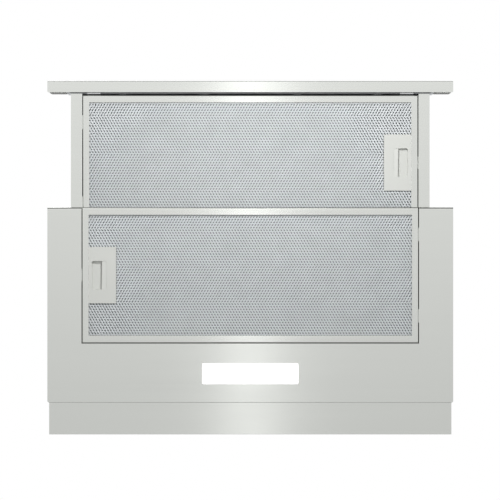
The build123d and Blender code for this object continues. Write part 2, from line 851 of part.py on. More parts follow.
def make_rear_filler():
    """Tray that slides over the plate's rear edge, slotted for its clamp studs."""
    half_width = half_hood - filler_side_gap
    half_notch = lamp_width / 2 + filler_lamp_gap
    rear_y = plate_rear_y + filler_reach
    high = filler_z + filler_height
    tray = wide_block(half_width, plate_rear_y - filler_lap, rear_y, filler_z, filler_top)
    tray -= wide_block(half_notch, plate_rear_y - filler_lap - sheet, plate_rear_y - filler_lamp_lap,
                       0, high)
    tray += wide_block(half_width, rear_y - sheet, rear_y, filler_z, high)
    for side in (-1, 1):
        flange = block(half_width - sheet, half_width, plate_rear_y + filler_travel + sheet, rear_y,
                       filler_z, high)
        tray += mirrored(flange, side)
        slot_half = filler_stud_radius + filler_slot_gap
        x = side * filler_stud_x
        start_y = filler_stud_y() - slot_half
        end_y = filler_stud_y() + filler_travel + slot_half
        tray -= block(x - slot_half, x + slot_half, start_y, end_y, 0, high)
    return tray


def make_filler_nuts():
    """Clamp nuts on the plate's studs."""
    nuts = []
    base_z = filler_top + filler_gap
    for side in (-1, 1):
        x = side * filler_stud_x
        nut = hexagon(nut_width, base_z, base_z + nut_height, x, filler_stud_y())
        hole = Pos(x, filler_stud_y(), 0) * Cylinder(
            filler_stud_radius + shaft_gap, 2 * (base_z + nut_height), align=standing)
        nuts.append(nut - hole)
    return nuts


# Blower, drawn in the plane across its axis

def scroll_point(angle):
    """Point of the scroll's inner wall, whose radius grows with the angle."""
    grown = max(0.0, angle - 90.0) / 270.0
    radius = scroll_start_radius + scroll_growth * grown
    turn = math.radians(angle)
    return (blower_y + radius * math.cos(turn), blower_z + radius * math.sin(turn))


def scroll_air_face(outlet_top):
    """Outline of the air space seen along the axis, open upwards at the outlet."""
    angles = [scroll_tongue_angle, 90.0, 180.0, 270.0, 360.0]
    outline = []
    for start, end in zip(angles[:-1], angles[1:]):
        outline.append(ThreePointArc(scroll_point(start), scroll_point((start + end) / 2), scroll_point(end)))
    outline.append(Line(scroll_point(360.0), (outlet_rear_y, outlet_top)))
    outline.append(Line((outlet_rear_y, outlet_top), (outlet_front_y, outlet_top)))
    outline.append(Line((outlet_front_y, outlet_top), scroll_point(scroll_tongue_angle)))
    return make_face(outline)


def make_scroll_half(side):
    """One half of the scroll with its inlet mouth."""
    air_face = scroll_air_face(outlet_plane_z + 2 * scroll_wall)
    shell_face = offset(air_face, scroll_wall, kind=Kind.INTERSECTION)
    shell = extrude(Plane.YZ * shell_face, scroll_half_width)
    shell -= extrude(Plane.YZ * air_face, scroll_half_width - scroll_wall)
    shell -= wide_block(2 * scroll_half_width, outlet_front_y - 2 * scroll_wall,
                        outlet_rear_y + 2 * scroll_wall, outlet_plane_z, outlet_plane_z + 4 * scroll_wall)
    shell += rod(inlet_radius + inlet_lip, (scroll_half_width - scroll_wall, blower_y, blower_z),
                 (scroll_half_width + inlet_lip_height, blower_y, blower_z))
    shell -= rod(inlet_radius, (0, blower_y, blower_z), (2 * scroll_half_width, blower_y, blower_z))
    return mirrored(shell, side)


def adapter_loft(extra):
    """Solid that turns from the scroll's oblong outlet to the round duct."""
    width = 2 * (scroll_half_width - scroll_wall + extra)
    depth = outlet_rear_y - outlet_front_y + 2 * extra
    oblong = Pos(0, duct_y, outlet_plane_z) * Rectangle(width, depth)
    circle = Pos(0, duct_y, casing_roof_z) * Circle(duct_bore_radius + extra)
    return loft([oblong, circle])


def make_outlet_adapter():
    """Thin transition between scroll and roof."""
    return adapter_loft(scroll_wall) - adapter_loft(0.0)


def impeller_polar(radius, angle):
    """Point on the impeller from its radius and its angle in degrees."""
    turn = math.radians(angle)
    return (radius * math.cos(turn), radius * math.sin(turn))


def blade_face(angle):
    """Forward-curved blade section that starts at an angle."""
    thickness = math.degrees(blade_sheet / impeller_radius)
    middle_radius = (impeller_bore_radius + impeller_radius) / 2
    sides = []
    for turn in (angle, angle + thickness):
        sides.append([
            impeller_polar(impeller_bore_radius, turn),
            impeller_polar(middle_radius, turn + blade_lean / 4),
            impeller_polar(impeller_radius, turn + blade_lean),
        ])
    front, back = sides
    tip = Line(front[2], back[2])
    root = Line(back[0], front[0])
    return make_face([ThreePointArc(*front), tip, ThreePointArc(*back[::-1]), root])


def make_impeller():
    """Double-inlet impeller: blades between two end rings, on a centre disc with a hub."""
    half_length = impeller_length / 2
    blades = [extrude(Plane.YZ.offset(-half_length) * blade_face(360 / blade_count * number), impeller_length)
              for number in range(blade_count)]
    wheel = rod(impeller_radius, (-impeller_disc / 2, 0, 0), (impeller_disc / 2, 0, 0))
    wheel += rod(hub_radius, (hub_start, 0, 0), (hub_start + hub_length, 0, 0))
    wheel += blades
    for side in (-1, 1):
        inner_x = side * (half_length - impeller_ring_width)
        wheel += ring(impeller_radius + impeller_ring / 2, impeller_radius - impeller_ring / 2,
                      (inner_x, 0, 0), (side * half_length, 0, 0))
    wheel -= rod(shaft_radius, (-half_length, 0, 0), (half_length, 0, 0))
    return Pos(0, blower_y, blower_z) * wheel


def make_motor_shaft():
    """Shaft that the hub is fixed on."""
    return rod(shaft_radius, (shaft_start, blower_y, blower_z), (hub_start + hub_length, blower_y, blower_z))


def make_motor():
    """Motor body with stepped end bells and bearing bosses, bored for the shaft."""
    rear_x = motor_front_x - motor_length
    motor = rod(motor_radius, (rear_x, 0, 0), (motor_front_x, 0, 0))
    motor = chamfer(motor.edges().filter_by(GeomType.CIRCLE), mount_sheet)
    motor += rod(motor_end_radius, (rear_x - motor_end_length, 0, 0), (motor_front_x, 0, 0))
    motor += rod(motor_boss_radius, (rear_x - motor_end_length - motor_boss_length, 0, 0),
                 (motor_front_x + motor_boss_length, 0, 0))
    motor -= rod(shaft_radius + shaft_gap, (2 * rear_x, 0, 0), (-motor_front_x, 0, 0))
    return Pos(0, blower_y, blower_z) * motor


def make_motor_mount():
    """Ring round the motor with arms that stand on the scroll's side."""
    wall_x = -scroll_half_width
    back_x = wall_x - inlet_lip_height - mount_sheet
    mount = rod(motor_radius + mount_ring, (back_x, 0, 0), (back_x + mount_sheet, 0, 0))
    for number in range(mount_arm_count):
        arm = block(back_x, back_x + mount_sheet, -mount_arm_width / 2, mount_arm_width / 2,
                    0, mount_foot_end)
        arm += block(back_x, wall_x, -mount_arm_width / 2, mount_arm_width / 2,
                     mount_foot_start, mount_foot_end)
        mount += Rot(360 / mount_arm_count * number, 0, 0) * arm
    mount -= rod(motor_radius, (2 * back_x, 0, 0), (0, 0, 0))
    return Pos(0, blower_y, blower_z) * mount


# Duct collar and flaps

def make_duct_collar():
    """Round collar with a screwed flange and an inner ledge that the flaps rest on."""
    base_z = casing_height
    top_z = base_z + duct_height
    collar = rod(duct_flange_radius, (0, duct_y, base_z), (0, duct_y, base_z + duct_flange))
    collar += rod(duct_radius, (0, duct_y, base_z), (0, duct_y, top_z))
    collar -= rod(duct_bore_radius, (0, duct_y, base_z - sheet), (0, duct_y, top_z + sheet))
    stop_top = flap_z - flap_sheet / 2 - flap_stop_gap
    collar += ring(duct_radius, duct_bore_radius - flap_stop_width,
                   (0, duct_y, stop_top - flap_stop_height), (0, duct_y, stop_top))
    collar -= rod(flap_pin_radius + shaft_gap, (0, duct_y - duct_flange_radius, flap_z),
                  (0, duct_y + duct_flange_radius, flap_z))
    for seat in duct_screw_seats():
        collar -= screw_hole(seat, (0, 0, -1), screw_length)
    return collar


def make_flap_pin():
    """Pin across the collar that both flaps turn on."""
    return rod(flap_pin_radius, (0, duct_y - duct_radius, flap_z), (0, duct_y + duct_radius, flap_z))


def make_flap(side):
    """Half-round flap with every second knuckle of the hinge."""
    radius = duct_bore_radius - flap_edge_gap
    disc = rod(radius, (0, 0, -flap_sheet / 2), (0, 0, flap_sheet / 2))
    flap = disc & block(flap_root, 2 * radius, -radius, radius, -flap_sheet, flap_sheet)
    row_length = knuckle_count * knuckle_length + (knuckle_count - 1) * knuckle_gap
    first = 0 if side > 0 else 1
    for number in range(first, knuckle_count, 2):
        start = -row_length / 2 + number * (knuckle_length + knuckle_gap)
        end = start + knuckle_length
        flap += rod(knuckle_radius, (0, start, 0), (0, end, 0))
        flap += block(0, 2 * flap_root, start, end, -flap_sheet / 2, flap_sheet / 2)
    flap -= rod(flap_pin_radius + flap_pin_gap, (0, -radius, 0), (0, radius, 0))
    return Pos(0, duct_y, flap_z) * mirrored(flap, side)


# Wiring pieces

def make_terminal_box():
    """Four walls for the mains connection, with a rim under the roof, which closes them from above."""
    low = casing_roof_z - terminal_height
    walls = Rectangle(terminal_length, terminal_width)
    rim = Rectangle(terminal_length + 2 * terminal_rim, terminal_width + 2 * terminal_rim)
    space = Rectangle(terminal_length - 2 * terminal_wall, terminal_width - 2 * terminal_wall)
    box = Pos(0, 0, low) * extrude(walls - space, terminal_height)
    box += Pos(0, 0, casing_roof_z - terminal_wall) * extrude(rim - space, terminal_wall)
    return Pos(terminal_x, terminal_y, 0) * box


def make_terminal_cover():
    """Cover that closes the terminal box from below."""
    low = casing_roof_z - terminal_height
    cover = Box(terminal_length, terminal_width, terminal_wall, align=standing)
    cover = fillet(cover.edges().filter_by(Axis.Z), terminal_wall)
    return Pos(terminal_x, terminal_y, low - terminal_wall) * cover


def make_cable_gland():
    """Gland through the roof, with its shank, flange, clamping cap and bore."""
    low = casing_roof_z - 2 * terminal_wall
    high = casing_height + gland_flange
    top = high + gland_cap_height
    gland = rod(gland_shank_radius, (0, 0, low), (0, 0, high))
    gland += rod(gland_flange_radius, (0, 0, casing_height), (0, 0, high))
    cap = hexagon(gland_cap_width, high, top, 0, 0)
    gland += chamfer(cap.edges().group_by(Axis.Z)[-1], gland_flange / 2)
    gland -= rod(gland_bore_radius, (0, 0, low - sheet), (0, 0, top + sheet))
    return Pos(terminal_x, terminal_y, 0) * gland


def make_capacitor():
    """Run capacitor that hangs from the roof by its stud and nut."""
    low = casing_roof_z - capacitor_length
    body = rod(capacitor_radius, (0, 0, low), (0, 0, casing_roof_z))
    body = fillet(body.edges().group_by(Axis.Z)[0], terminal_wall)
    body += rod(capacitor_stud_radius, (0, 0, low), (0, 0, casing_height + capacitor_stud_length))
    body += hexagon(capacitor_nut_width, casing_height, casing_height + capacitor_nut_height, 0, 0)
    return Pos(capacitor_x, capacitor_y, 0) * body


# Drawer microswitch

lever_y = drawer_shut_rear_y + lever_gap
lever_pivot_y = lever_y + lever_body_gap / 2
lever_pivot_z = microswitch_low + microswitch_height
microswitch_front_y = lever_y + lever_body_gap


def make_drawer_switch():
    """Microswitch on the back panel, with two ears that carry the lever."""
    half_width = microswitch_width / 2
    body = block(-half_width, half_width, microswitch_front_y, casing_rear_y - sheet,
                 microswitch_low, lever_pivot_z)
    ear_inner = lever_width / 2 + latch_gap
    for side in (-1, 1):
        ear = block(ear_inner, half_width, lever_y, casing_rear_y - sheet,
                    lever_pivot_z - lever_body_gap, lever_pivot_z + lever_body_gap)
        body += mirrored(ear, side)
    body -= rod(lever_pin_radius + shaft_gap, (-microswitch_width, lever_pivot_y, lever_pivot_z),
                (microswitch_width, lever_pivot_y, lever_pivot_z))
    return Pos(microswitch_x, 0, 0) * body


def make_switch_lever():
    """Sheet lever on its cross pin, which the drawer's rear edge meets."""
    half_width = lever_width / 2
    lever = block(-half_width, half_width, lever_y, lever_y + lever_sheet,
                  lever_pivot_z - lever_length, lever_pivot_z)
    lever += block(-half_width, half_width, lever_y, lever_pivot_y,
                   lever_pivot_z - lever_sheet, lever_pivot_z)
    lever += rod(lever_pin_radius, (-microswitch_width / 2, lever_pivot_y, lever_pivot_z),
                 (microswitch_width / 2, lever_pivot_y, lever_pivot_z))
    return Pos(microswitch_x, 0, 0) * lever


# All nodes

nodes = {
    "base_plate": make_base_plate(),
    "casing_back": make_casing_back(),
    "casing_front": make_casing_front(),
    "casing_top": make_casing_top(),
    "casing_screws": make_casing_screws(),
    "drawer_front_bar": make_drawer_front_bar(),
    "drawer_cover": make_drawer_cover(),
    "front_trim": make_front_trim(),
    "trim_clips": make_trim_clips(),
    "trim_screws": make_trim_screws(),
    "switch_bezel": make_switch_bezel(),
    "switch_board": make_switch_board(),
    "lamp_lens": make_lamp_lens(),
    "lamp_board": make_lamp_board(),
    "lamp_housing": make_lamp_housing(),
    "rear_filler": make_rear_filler(),
    "filler_nuts": make_filler_nuts(),
    "outlet_adapter": make_outlet_adapter(),
    "impeller": make_impeller(),
    "motor_shaft": make_motor_shaft(),
    "motor": make_motor(),
    "motor_mount": make_motor_mount(),
    "duct_collar": make_duct_collar(),
    "flap_pin": make_flap_pin(),
    "terminal_box": make_terminal_box(),
    "terminal_cover": make_terminal_cover(),
    "cable_gland": make_cable_gland(),
    "capacitor": make_capacitor(),
    "drawer_switch": make_drawer_switch(),
    "drawer_switch_lever": make_switch_lever(),
}

for label, side in (("left", -1), ("right", 1)):
    nodes[f"casing_side_{label}"] = make_casing_side(side)
    nodes[f"bracket_{label}"] = make_bracket(side)
    nodes[f"slide_outer_{label}"] = make_slide_outer(side)
    nodes[f"slide_cage_{label}"] = make_slide_cage(side)
    nodes[f"slide_inner_{label}"] = make_slide_inner(side)
    nodes[f"drawer_side_{label}"] = make_drawer_side(side)
    nodes[f"scroll_{label}"] = make_scroll_half(side)
    nodes[f"flap_{label}"] = make_flap(side)

for label, place in (("front", front_filter_place), ("rear", rear_filter_place)):
    nodes[f"{label}_filter_frame"] = place * make_filter_frame()
    nodes[f"{label}_filter_mesh"] = place * make_filter_mesh()
    nodes[f"{label}_filter_handle"] = place * make_filter_handle()
    nodes[f"{label}_latch_slider"] = place * make_latch_slider()
    nodes[f"{label}_latch_spring"] = place * make_latch_spring()

for number, label in enumerate(("speed_1", "speed_2", "speed_3", "light")):
    nodes[f"button_{label}"] = make_button(number)

os.makedirs("parts", exist_ok=True)
for name, shape in nodes.items():
    solid = Compound(children=shape) if isinstance(shape, list) else shape
    export_step(solid, f"parts/{name}.step")
print(f"{len(nodes)} nodes")
print(f"front {front_y:.2f}, trim rear {trim_rear_y:.2f}, plate {plate_front_y:.2f} to {plate_rear_y:.2f}")
print(f"filters at {front_filter_y:.2f} and {rear_filter_y:.2f}, rails at {rail_z:.2f}, lamp at {lamp_y:.2f}")
print(f"duct at {duct_y:.2f}, flaps at {flap_z:.2f}, lever pivot {lever_pivot_y:.2f}, {lever_pivot_z:.2f}")
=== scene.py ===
import json
import math

import bpy
import bmesh
import numpy as np
from mathutils import Matrix, Vector

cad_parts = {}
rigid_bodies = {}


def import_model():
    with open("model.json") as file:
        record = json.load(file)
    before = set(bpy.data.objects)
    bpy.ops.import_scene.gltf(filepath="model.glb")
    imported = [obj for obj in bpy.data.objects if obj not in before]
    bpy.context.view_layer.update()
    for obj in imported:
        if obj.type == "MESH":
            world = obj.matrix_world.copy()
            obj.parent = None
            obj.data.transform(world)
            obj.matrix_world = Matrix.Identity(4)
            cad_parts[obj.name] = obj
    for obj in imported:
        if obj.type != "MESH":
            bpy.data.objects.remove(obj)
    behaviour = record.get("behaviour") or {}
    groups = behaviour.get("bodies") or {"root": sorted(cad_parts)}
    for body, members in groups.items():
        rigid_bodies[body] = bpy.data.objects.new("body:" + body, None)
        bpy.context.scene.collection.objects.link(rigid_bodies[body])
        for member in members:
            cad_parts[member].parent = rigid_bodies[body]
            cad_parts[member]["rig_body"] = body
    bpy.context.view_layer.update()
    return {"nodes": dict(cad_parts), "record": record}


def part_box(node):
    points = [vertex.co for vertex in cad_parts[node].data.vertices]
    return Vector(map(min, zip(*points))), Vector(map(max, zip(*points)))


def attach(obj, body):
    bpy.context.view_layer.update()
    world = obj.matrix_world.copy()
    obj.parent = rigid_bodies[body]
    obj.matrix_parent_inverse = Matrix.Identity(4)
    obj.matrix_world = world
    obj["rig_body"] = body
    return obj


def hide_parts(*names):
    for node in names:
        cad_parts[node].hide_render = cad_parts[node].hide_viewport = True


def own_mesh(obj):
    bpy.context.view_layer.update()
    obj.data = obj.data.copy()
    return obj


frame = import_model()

# Telescopic range hood with its drawer pulled out, seen from straight below.
# Metres, +Z up, front towards -Y, underside at zero.

scene = bpy.context.scene
scene.view_settings.view_transform = "Standard"
print("frame loaded:", len(frame["nodes"]), "pieces")


# Shader maths

class Wire:
    # one socket's value; the operators add Math nodes to its tree
    def __init__(self, bench, socket):
        self.bench = bench
        self.socket = socket

    def math(self, operation, *values):
        return self.bench.add("ShaderNodeMath", {"operation": operation}, dict(enumerate(values)))

    def __add__(self, other):
        return self.math("ADD", self, other)

    def __radd__(self, other):
        return self.math("ADD", other, self)

    def __sub__(self, other):
        return self.math("SUBTRACT", self, other)

    def __rsub__(self, other):
        return self.math("SUBTRACT", other, self)

    def __mul__(self, other):
        return self.math("MULTIPLY", self, other)

    def __rmul__(self, other):
        return self.math("MULTIPLY", other, self)

    def __lt__(self, other):
        return self.math("LESS_THAN", self, other)

    def __or__(self, other):
        return self.math("MAXIMUM", self, other)


class Bench:
    # the nodes of one material or world; add() makes every node
    def __init__(self, tree):
        self.tree = tree

    def put(self, socket, value):
        if isinstance(value, Wire):
            self.tree.links.new(value.socket, socket)
        elif socket.type == "RGBA":
            socket.default_value = (*value, 1.0)
        else:
            socket.default_value = value

    def add(self, kind, settings, sockets, out=0):
        node = self.tree.nodes.new(kind)
        for key, value in settings.items():
            setattr(node, key, value)
        for key, value in sockets.items():
            self.put(node.inputs[key], value)
        return Wire(self, node.outputs[out])


class Finish(Bench):
    # one material; set() fills its shader's sockets, with a plain value or with what varies over the surface
    def __init__(self, name):
        self.material = bpy.data.materials.new(name)
        self.material.use_nodes = True
        super().__init__(self.material.node_tree)
        self.shader = self.tree.nodes["Principled BSDF"]

    def set(self, **values):
        # socket names are written with _ for the space
        for key, value in values.items():
            self.put(self.shader.inputs[key.replace("_", " ")], value)
        return self

    def surface(self, wire):
        self.put(self.tree.nodes["Material Output"].inputs["Surface"], wire)

    def place(self, scale=(1, 1, 1)):
        # object coordinates, stretched
        spot = self.add("ShaderNodeTexCoord", {}, {}, "Object")
        return self.add("ShaderNodeMapping", {}, {"Vector": spot, "Scale": scale})

    def axis(self, name):
        spot = self.add("ShaderNodeTexCoord", {}, {}, "Object")
        return self.add("ShaderNodeSeparateXYZ", {}, {"Vector": spot}, name)

    def noise(self, scale, detail, where=None, roughness=0.55):
        where = where or self.place()
        return self.add("ShaderNodeTexNoise", {},
                        {"Vector": where, "Scale": scale, "Detail": detail, "Roughness": roughness})

    def cells(self, scale, feature="F1", where=None, out="Distance"):
        where = where or self.place()
        return self.add("ShaderNodeTexVoronoi", {"feature": feature}, {"Vector": where, "Scale": scale}, out)

    def mixColour(self, share, first, second):
        return self.add("ShaderNodeMix", {"data_type": "RGBA"}, {0: share, 6: first, 7: second}, 2)

    def tones(self, level, colour, dark, light):
        return self.mixColour(level, shade(colour, dark), shade(colour, light))

    def bump(self, height, depth):
        normal = self.add("ShaderNodeBump", {}, {"Height": height, "Distance": depth, "Strength": 1.0})
        return self.set(Normal=normal)


def shade(colour, factor):
    return tuple(min(1.0, channel * factor) for channel in colour)


# Sheet metal. In every look, scales are per metre, depths are in metres, and a rough... value is how far
# that pattern moves the roughness.

satinLook = {
    "colour": (0.740, 0.755, 0.723),   # warm grey steel
    "spread": 0.035,                   # how far the streaks go from the colour
    "roughness": 0.140,
    "fine": (3.0, 420.0, 420.0),       # streaks, long along X
    "broad": (1.2, 46.0, 46.0),
    "smudge": 7.0,
    "shares": (0.55, 0.3, 0.15),       # fine streaks, broad streaks and smudges in the tone
    "roughBroad": 0.05,
    "roughSmudge": 0.06,
    "depth": 0.000004,
}


def brushed(name, look):
    # streaks that run along X: noise stretched, fine across Y and Z
    finish = Finish(name)
    fine = finish.noise(1.0, 4.0, finish.place(look["fine"]))
    broad = finish.noise(1.0, 2.0, finish.place(look["broad"]))
    smudge = finish.noise(look["smudge"], 2.0)
    fineShare, broadShare, smudgeShare = look["shares"]
    level = fine * fineShare + broad * broadShare + smudge * smudgeShare
    rough = look["roughness"] + (broad - 0.5) * look["roughBroad"] + (smudge - 0.5) * look["roughSmudge"]
    colour = finish.tones(level, look["colour"], 1 - look["spread"], 1 + look["spread"])
    return finish.set(Metallic=1.0, Base_Color=colour, Roughness=rough).bump(fine, look["depth"])


zincLook = {
    "colour": (0.53, 0.55, 0.565),
    "dark": 0.86,
    "light": 1.10,
    "flakes": 90.0,        # zinc crystals
    "flakeShare": 0.6,     # of the crystals in the tone, clouds have the rest
    "cloud": 9.0,
    "warp": 60.0,          # noise that bends the crystals' edges
    "warpPush": 0.006,
    "roughness": 0.42,
    "roughFlake": 0.16,
    "depth": 0.00002,
}


def galvanised(name, look):
    # zinc crystals: every cell has its own brightness and roughness
    finish = Finish(name)
    warped = finish.noise(look["warp"], 2.0, roughness=0.5)
    pushed = finish.add("ShaderNodeVectorMath", {"operation": "MULTIPLY_ADD"},
                        {0: warped, 1: (look["warpPush"],) * 3, 2: finish.place()})
    crystal = finish.cells(look["flakes"], where=pushed, out="Color")
    grey = finish.add("ShaderNodeSeparateColor", {}, {"Color": crystal}, "Red")
    level = grey * look["flakeShare"] + finish.noise(look["cloud"], 3.0) * (1 - look["flakeShare"])
    rough = look["roughness"] + (grey - 0.5) * look["roughFlake"]
    colour = finish.tones(level, look["colour"], look["dark"], look["light"])
    return finish.set(Metallic=1.0, Base_Color=colour, Roughness=rough).bump(level, look["depth"])


platedLook = {
    "colour": (0.62, 0.64, 0.655),
    "dark": 0.9,
    "light": 1.07,
    "metallic": 1.0,
    "roughness": 0.24,
    "cloud": 40.0,
    "roughCloud": 0.1,
    "scratch": (900.0, 60.0, 900.0),
    "roughScratch": 0.06,
    "depth": 0.000006,
}


def plated(name, **changes):
    # drawn and plated metal: soft cloudy tone, fine scratches
    look = dict(platedLook, **changes)
    finish = Finish(name)
    cloud = finish.noise(look["cloud"], 3.0)
    scratch = finish.noise(1.0, 3.0, finish.place(look["scratch"]))
    rough = look["roughness"] + cloud * look["roughCloud"] + scratch * look["roughScratch"]
    colour = finish.tones(cloud, look["colour"], look["dark"], look["light"])
    finish.set(Metallic=look["metallic"], Base_Color=colour, Roughness=rough)
    return finish.bump(scratch, look["depth"])


# Plastics, the lamp's board and its lens

mouldedLook = {
    "tone": 0.05,          # how far the clouds go from the colour
    "metallic": 0.0,
    "coat": 0.0,
    "cloud": 14.0,
    "cloudShare": 0.7,     # of the clouds in the tone, the grain has the rest
    "grain": 1400.0,
    "roughGrain": 0.12,
    "depth": 0.00002,
}


def moulded(name, colour, roughness, **changes):
    # spark-eroded mould grain with faint flow clouds
    look = dict(mouldedLook, **changes)
    finish = Finish(name)
    pits = finish.noise(look["grain"], 2.0)
    level = finish.noise(look["cloud"], 2.0) * look["cloudShare"] + pits * (1 - look["cloudShare"])
    finish.set(Metallic=look["metallic"], Coat_Weight=look["coat"],
               Base_Color=finish.tones(level, colour, 1 - look["tone"], 1 + look["tone"]),
               Roughness=roughness + (pits - 0.5) * look["roughGrain"])
    return finish.bump(pits, look["depth"])


circuitLook = {
    "boardColour": (0.035, 0.17, 0.075),
    "trackColour": (0.10, 0.33, 0.15),
    "tracks": 170.0,
    "trackWidth": 0.05,    # share of a cell
    "pads": 330.0,
    "padSize": 0.16,
    "coat": 0.4,
    "roughness": 0.34,
    "roughTrack": 0.1,
    "depth": 0.00003,
}


def circuit(name, look):
    # lacquered board: tracks as thin lines of a cell pattern, speckled with pads
    finish = Finish(name)
    track = finish.cells(look["tracks"], "DISTANCE_TO_EDGE") < look["trackWidth"]
    mark = track | (finish.cells(look["pads"]) < look["padSize"])
    finish.set(Metallic=0.0, Coat_Weight=look["coat"],
               Base_Color=finish.mixColour(mark, look["boardColour"], look["trackColour"]),
               Roughness=look["roughness"] + mark * look["roughTrack"])
    return finish.bump(mark, look["depth"])


opalLook = {
    "tones": ((0.93, 0.93, 0.93), (0.97, 0.97, 0.97)),
    "glows": ((0.97, 0.97, 0.97), (1.0, 1.0, 1.0)),
    "strength": 0.55,
    "grain": 900.0,
    "roughness": 0.3,
    "roughGrain": 0.1,
    "depth": 0.00001,
}


def opal(name, look):
    # lit opal lens: white, even, with a fine grain
    finish = Finish(name)
    grain = finish.noise(look["grain"], 2.0)
    finish.set(Metallic=0.0, Emission_Strength=look["strength"],
               Base_Color=finish.mixColour(grain, *look["tones"]),
               Emission_Color=finish.mixColour(grain, *look["glows"]),
               Roughness=look["roughness"] + grain * look["roughGrain"])
    return finish.bump(grain, look["depth"])


# latchSlotShade makes the latch slider a little darker than the handle plastic: painted shade of the recessed
# finger slot
handleLook = {"colour": (0.710, 0.722, 0.688), "roughness": 0.43, "metallic": 0.45, "tone": 0.02,
              "latchSlotShade": 0.99, "latchRoughness": 0.36}
# coreShadeColour is painted shade: the dark grey of the sheet inside the filter stands for the shade deep in
# the mesh
meshLook = {"colour": (0.762, 0.790, 0.805), "roughness": 0.40, "metallic": 0.38,
            "coreShadeColour": (0.26, 0.285, 0.29), "coreRoughness": 0.5}
clipZinc = (0.70, 0.71, 0.72)


def handlePlastic(name, colour, roughness):
    return moulded(name, colour, roughness, tone=handleLook["tone"], metallic=handleLook["metallic"])


finishes = {
    "satin_steel": brushed("satinSteel", satinLook),
    "filter_frame_steel": brushed("frameSteel", dict(satinLook, roughness=0.138)),
    "filter_mesh": plated("meshAluminium", colour=meshLook["colour"], roughness=meshLook["roughness"],
                          metallic=meshLook["metallic"]),
    "handle_grey": handlePlastic("silverPlastic", handleLook["colour"], handleLook["roughness"]),
    "zinc_sheet": galvanised("galvanisedSheet", zincLook),
    "zinc_slide": plated("slideZinc"),
    "bright_zinc": plated("screwZinc", colour=clipZinc, roughness=0.18),
    "spring_steel": plated("springSteel", colour=(0.58, 0.58, 0.60), roughness=0.2),
    "black_plastic": moulded("blackPlastic", (0.030, 0.030, 0.032), 0.45, depth=0.00004, tone=0.15),
    "wheel_plastic": moulded("wheelPlastic", (0.075, 0.076, 0.082), 0.4, grain=700.0, tone=0.12),
    "duct_plastic": moulded("ductPlastic", (0.090, 0.090, 0.096), 0.42, depth=0.00004, tone=0.12),
    "motor_grey": moulded("motorLacquer", (0.30, 0.31, 0.32), 0.38, grain=420.0, depth=0.00005, coat=0.2),
    "shaft_steel": plated("shaftSteel", roughness=0.14),
    "capacitor_white": moulded("capacitorShell", (0.80, 0.80, 0.77), 0.4, tone=0.03),
    "opal_lens": opal("opalLens", opalLook),
    "lamp_white": moulded("lampWhite", (0.84, 0.84, 0.82), 0.4, tone=0.02),
    "circuit_green": circuit("circuitBoard", circuitLook),
    "bezel_grey": moulded("bezelGrey", (0.27, 0.28, 0.29), 0.3, tone=0.04, coat=0.3),
    "button_grey": moulded("buttonGrey", (0.56, 0.57, 0.565), 0.3, tone=0.03, coat=0.3),
}
ownFinish = {
    "trim_clips": plated("clipZinc", colour=clipZinc, roughness=0.14),
    # painted shade: the latch slider is the handle plastic made a little darker, for the slider lying down in
    # the finger slot
    "front_latch_slider": handlePlastic("latchPlasticSlotShade", shade(handleLook["colour"], handleLook["latchSlotShade"]),
                                        handleLook["latchRoughness"]),
}
ownFinish["rear_latch_slider"] = ownFinish["front_latch_slider"]
slotOf = {part["node"]: part["material_slot"] for part in frame["record"]["subparts"]}


def finishOf(name):
    return ownFinish.get(name, finishes[slotOf[name]])


for name, piece in frame["nodes"].items():
    piece.data.materials.clear()
    piece.data.materials.append(finishOf(name).material)
print("finishes:", len(finishes))


# New pieces

sameSpot = 0.00005        # points nearer than this are one place
sameWay = 0.999           # share of an edge's length along an axis that makes it run that way
merging = 0.000002        # corners nearer than this are joined


def near(first, second):
    return abs(first - second) < sameSpot


def setPiece(name, mesh, body, finish, replaced=()):
    # puts a mesh in the scene with its finish, on the body that carries it
    piece = bpy.data.objects.new(name, mesh)
    scene.collection.objects.link(piece)
    mesh.materials.append(finish.material)
    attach(piece, body)
    if replaced:
        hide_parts(*replaced)
    return piece


def addPiece(name, body, slot, parts, replaced=(), finish=None):
    # a mesh from (points, faces) parts, merged where they meet
    bm = bmesh.new()
    for points, faces in parts:
        mesh = bpy.data.meshes.new("part")
        mesh.from_pydata(points.reshape(-1, 3).tolist(), [], faces.tolist())
        bm.from_mesh(mesh)
        bpy.data.meshes.remove(mesh)
    bmesh.ops.remove_doubles(bm, verts=bm.verts, dist=merging)
    mesh = bpy.data.meshes.new(name)
    bm.to_mesh(mesh)
    bm.free()
    return setPiece(name, mesh, body, finish or finishes[slot], replaced)


bendLook = {
    "sheet": 0.0010,
    "trimRear": 0.0014,     # outer radius of each bend
    "trimFront": 0.0010,
    "plateFront": 0.0030,
    "plateRear": 0.0015,
    "plateSide": 0.0008,
    "frameSide": 0.0012,
    "frameLong": 0.0024,
    "rail": 0.0012,
    "steps": 5,
    "frameSkin": 0.0008,    # sheet thickness of the filters' frames
    "seamEase": 0.0003,     # each filter's ends are drawn in by this much
}


def fold(x=None, y=None, z=None, along=None):
    # chooses the edges that lie at the given x, y or z and run along one axis
    wanted = [(axis, value) for axis, value in enumerate((x, y, z)) if value is not None]

    def chosen(edge):
        ends = [vertex.co for vertex in edge.verts]
        if not all(near(end[axis], value) for axis, value in wanted for end in ends):
            return False
        way = ends[1] - ends[0]
        return abs(way["xyz".index(along)]) > sameWay * way.length

    return chosen


def bend(radius, along, z, x=None, y=None, inward=None):
    # a folded corner of the sheet: its outer round and, one sheet further in, the inner one
    folds = [(fold(x=x, y=y, z=z, along=along), radius, bendLook["steps"])]
    if inward:
        across, up = inward[0] * bendLook["sheet"], inward[1] * bendLook["sheet"]
        innerX = None if x is None else x + across
        innerY = None if y is None else y + across
        folds.append((fold(x=innerX, y=innerY, z=z + up, along=along), radius - bendLook["sheet"],
                      bendLook["steps"]))
    return folds


